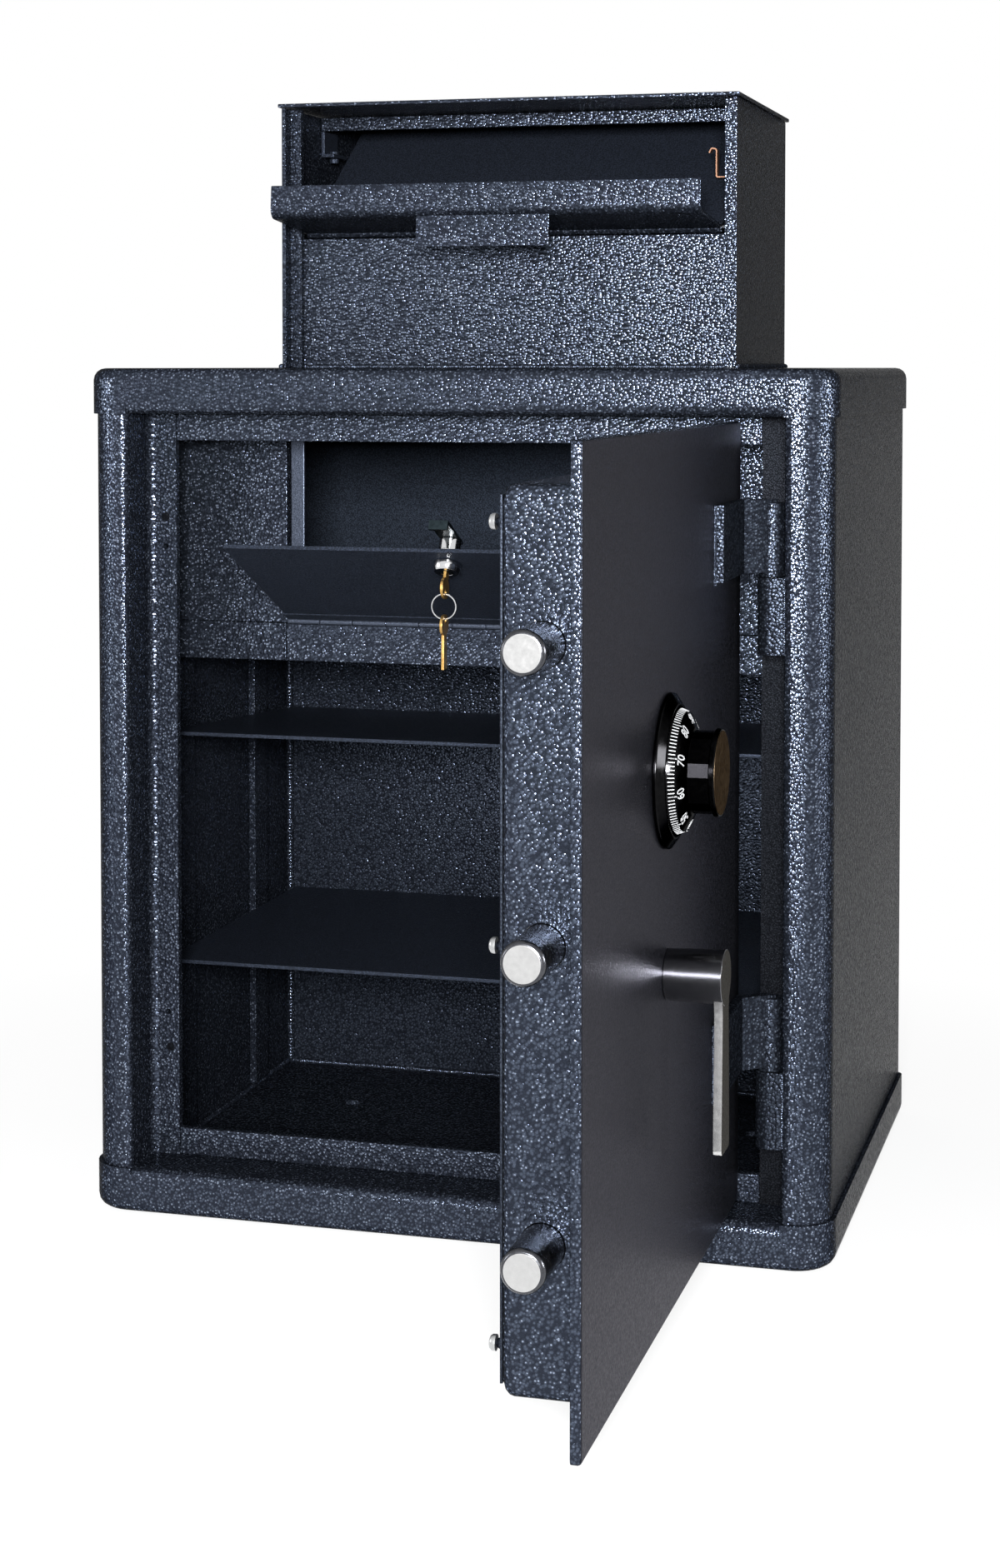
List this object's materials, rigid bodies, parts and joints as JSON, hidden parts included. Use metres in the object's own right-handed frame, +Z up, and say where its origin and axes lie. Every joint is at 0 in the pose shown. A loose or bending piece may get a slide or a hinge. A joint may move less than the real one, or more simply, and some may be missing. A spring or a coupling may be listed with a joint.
{
  "type": "drop safe",
  "caption": "Steel drop safe: hinged door with combination lock and round bolts, pull-down deposit hopper on the roof, keyed inner locker.",
  "frame": {"origin": "middle of the body's underside, in the plane of the floor", "axes": "+Z up, the front of the body faces -Y, +X to the right as seen from the front"},
  "size_m": [0.563, 0.904, 0.8437],
  "materials": {
    "right_side": "dark blue-grey hammered enamel, semi-gloss",
    "left_side": "dark blue-grey hammered enamel, semi-gloss",
    "back_panel": "dark blue-grey hammered enamel, semi-gloss",
    "bottom_cap": "dark blue-grey hammered enamel, semi-gloss",
    "top_cap": "dark blue-grey hammered enamel, semi-gloss",
    "bottom_rail": "dark blue-grey hammered enamel, semi-gloss",
    "top_rail": "dark blue-grey hammered enamel, semi-gloss",
    "lower_shelf": "dark blue-grey enamel, fine texture",
    "upper_shelf": "dark blue-grey enamel, fine texture",
    "left_front_standard": "dark blue-grey hammered enamel, semi-gloss",
    "left_rear_standard": "dark blue-grey hammered enamel, semi-gloss",
    "right_front_standard": "dark blue-grey hammered enamel, semi-gloss",
    "right_rear_standard": "dark blue-grey hammered enamel, semi-gloss",
    "locker_floor": "dark blue-grey hammered enamel, semi-gloss",
    "locker_right_jamb": "dark blue-grey hammered enamel, semi-gloss",
    "locker_left_jamb": "dark blue-grey hammered enamel, semi-gloss",
    "locker_header": "dark blue-grey hammered enamel, semi-gloss",
    "flange_hinge_leaf": "dark blue-grey hammered enamel, semi-gloss",
    "flap_hinge_pin": "zinc plated",
    "head_right_wall": "dark blue-grey hammered enamel, semi-gloss",
    "head_left_wall": "dark blue-grey hammered enamel, semi-gloss",
    "head_back": "dark blue-grey hammered enamel, semi-gloss",
    "head_front_panel": "dark blue-grey hammered enamel, semi-gloss",
    "head_top": "dark blue-grey hammered enamel, semi-gloss",
    "head_cross_rail": "dark blue-grey hammered enamel, semi-gloss",
    "head_bracket": "dark blue-grey enamel, fine texture",
    "head_spring_strip": "tarnished copper",
    "hopper_pin": "zinc plated",
    "upper_body_hinge": "dark blue-grey hammered enamel, semi-gloss",
    "lower_body_hinge": "dark blue-grey hammered enamel, semi-gloss",
    "upper_hinge_pin": "zinc plated",
    "lower_hinge_pin": "zinc plated",
    "door_plate": "dark blue-grey enamel, fine texture",
    "bolt_box": "dark blue-grey hammered enamel, semi-gloss",
    "inner_cover": "dark blue-grey enamel, fine texture",
    "bolt_guide": "zinc plated",
    "lock_case": "zinc plated",
    "lock_cover": "zinc plated",
    "dial_ring": "gloss black",
    "upper_door_hinge": "dark blue-grey hammered enamel, semi-gloss",
    "lower_door_hinge": "dark blue-grey hammered enamel, semi-gloss",
    "lower_bolt": "dark oxide, turned, polished end",
    "middle_bolt": "dark oxide, turned, polished end",
    "upper_bolt": "dark oxide, turned, polished end",
    "bolt_carriage": "zinc plated",
    "lock_bolt": "satin brass",
    "dial": "gloss black",
    "dial_spindle": "satin brass",
    "door_handle": "satin brushed",
    "handle_crank": "zinc plated",
    "hopper_tray": "dark blue-grey hammered enamel, semi-gloss",
    "locker_flap": "dark blue-grey enamel, fine texture",
    "flap_hinge_leaf": "dark blue-grey hammered enamel, semi-gloss",
    "cam_lock_body": "polished nickel-chrome",
    "cam_lock_nut": "zinc plated",
    "cam_lock_cam": "polished nickel-chrome",
    "locker_key": "satin brass",
    "key_ring": "zinc plated",
    "spare_key": "satin brass"
  },
  "bodies": {
    "cabinet": {"right_side": "right_side", "left_side": "left_side", "back_panel": "back_panel", "bottom_cap": "bottom_cap", "top_cap": "top_cap", "bottom_rail": "bottom_rail", "top_rail": "top_rail", "lower_shelf": "lower_shelf", "upper_shelf": "upper_shelf", "left_front_standard": "left_front_standard", "left_rear_standard": "left_rear_standard", "right_front_standard": "right_front_standard", "right_rear_standard": "right_rear_standard", "locker_floor": "locker_floor", "locker_right_jamb": "locker_right_jamb", "locker_left_jamb": "locker_left_jamb", "locker_header": "locker_header", "flange_hinge_leaf": "flange_hinge_leaf", "flap_hinge_pin": "flap_hinge_pin", "head_right_wall": "head_right_wall", "head_left_wall": "head_left_wall", "head_back": "head_back", "head_front_panel": "head_front_panel", "head_top": "head_top", "head_cross_rail": "head_cross_rail", "head_bracket": "head_bracket", "head_spring_strip": "head_spring_strip", "hopper_pin": "hopper_pin", "upper_body_hinge": "upper_body_hinge", "lower_body_hinge": "lower_body_hinge", "upper_hinge_pin": "upper_hinge_pin", "lower_hinge_pin": "lower_hinge_pin"},
    "door": {"door_plate": "door_plate", "bolt_box": "bolt_box", "inner_cover": "inner_cover", "bolt_guide": "bolt_guide", "lock_case": "lock_case", "lock_cover": "lock_cover", "dial_ring": "dial_ring", "upper_door_hinge": "upper_door_hinge", "lower_door_hinge": "lower_door_hinge"},
    "boltwork": {"lower_bolt": "lower_bolt", "middle_bolt": "middle_bolt", "upper_bolt": "upper_bolt", "bolt_carriage": "bolt_carriage"},
    "lock_bolt": {"lock_bolt": "lock_bolt"},
    "dial": {"dial": "dial", "dial_spindle": "dial_spindle"},
    "handle": {"door_handle": "door_handle", "handle_crank": "handle_crank"},
    "hopper": {"hopper_tray": "hopper_tray"},
    "flap": {"locker_flap": "locker_flap", "flap_hinge_leaf": "flap_hinge_leaf", "cam_lock_body": "cam_lock_body", "cam_lock_nut": "cam_lock_nut"},
    "cam_lock": {"cam_lock_cam": "cam_lock_cam", "locker_key": "locker_key"},
    "keys": {"key_ring": "key_ring", "spare_key": "spare_key"}
  },
  "joints": [
    {"name": "door_hinge", "type": "hinge", "parent": "cabinet", "child": "door", "pos_m": [0.2363, -0.199, 0.3], "axis": [0, 0, 1], "range_deg": [-90, 68]},
    {"name": "handle_turn", "type": "hinge", "parent": "door", "child": "handle", "pos_m": [0.214, -0.4473, 0.2631], "axis": [-1, 0, 0], "range_deg": [0, 90]},
    {"name": "bolt_slide", "type": "slide", "parent": "door", "child": "boltwork", "axis": [0, 1, 0], "range_m": [0, 0.038]},
    {"name": "dial_spin", "type": "hinge", "parent": "door", "child": "dial", "pos_m": [0.214, -0.4473, 0.389], "axis": [-1, 0, 0], "continuous": true},
    {"name": "lock_bolt_slide", "type": "slide", "parent": "door", "child": "lock_bolt", "axis": [0, 0, 1], "range_m": [-0.009, 0]},
    {"name": "hopper_hinge", "type": "hinge", "parent": "cabinet", "child": "hopper", "pos_m": [0, -0.0265, 0.7429], "axis": [1, 0, 0], "range_deg": [-84.5, 0]},
    {"name": "locker_flap_hinge", "type": "hinge", "parent": "cabinet", "child": "flap", "pos_m": [0, -0.0966, 0.4385], "axis": [1, 0, 0], "range_deg": [-65.2, 49.4]},
    {"name": "cam_lock_turn", "type": "hinge", "parent": "flap", "child": "cam_lock", "pos_m": [0.004, -0.21472, 0.49517], "axis": [0, 0.4195, 0.9078], "range_deg": [0, 90]},
    {"name": "key_ring_swing", "type": "hinge", "parent": "cam_lock", "child": "keys", "pos_m": [0.004, -0.22408, 0.47493], "axis": [1, 0, 0], "range_deg": [-58.5, 77.3]}
  ],
  "couplings": [
    {"joint": "bolt_slide", "follows": "handle_turn", "m_per_rad": 0.024192},
    {"joint": "locker_flap_hinge", "follows": "door_hinge", "ratio": 0.72444},
    {"joint": "key_ring_swing", "follows": "door_hinge", "ratio": -0.8578}
  ]
}
